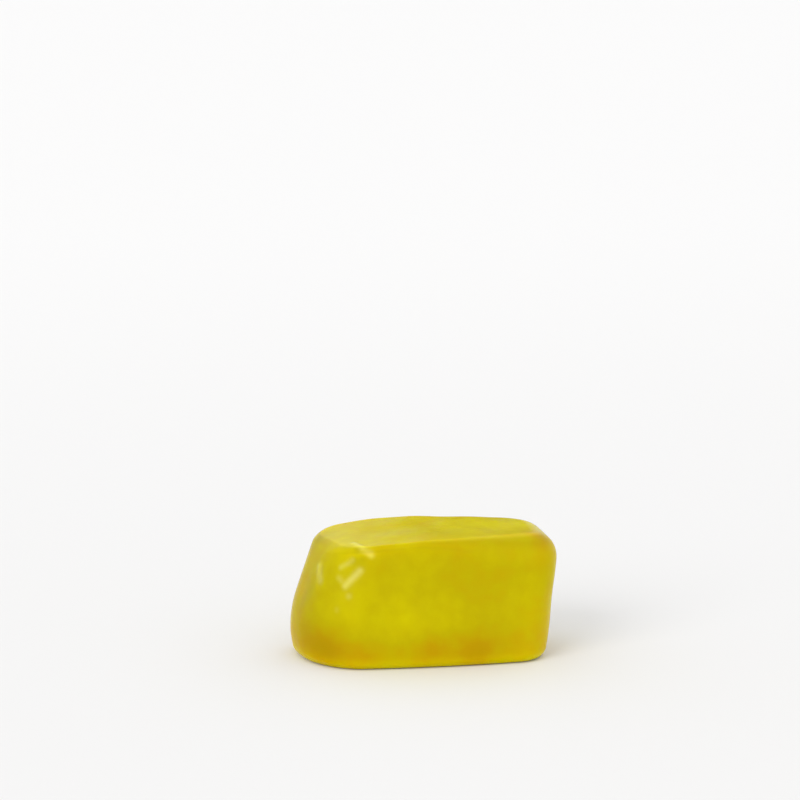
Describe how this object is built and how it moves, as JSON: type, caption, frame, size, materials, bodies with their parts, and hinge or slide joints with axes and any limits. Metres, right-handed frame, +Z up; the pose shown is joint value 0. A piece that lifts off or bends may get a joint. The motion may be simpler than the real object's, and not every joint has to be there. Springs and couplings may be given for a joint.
{
  "type": "jelly candy",
  "caption": "Soft translucent jelly candy out of its wrapper: a rounded rectangular block with gently bulging, creased ends that lies on a flat base.",
  "frame": {"origin": "on the flat base, under the middle of the block's bounding box", "axes": "+X along the length, from the end that leans in to the upright end; +Y from the front to the back; +Z up"},
  "size_m": [0.0342, 0.0162, 0.017],
  "materials": {
    "jelly": "translucent yellow-olive jelly with a moist satin sheen"
  },
  "bodies": {
    "root": {"jelly": "jelly"}
  },
  "joints": []
}
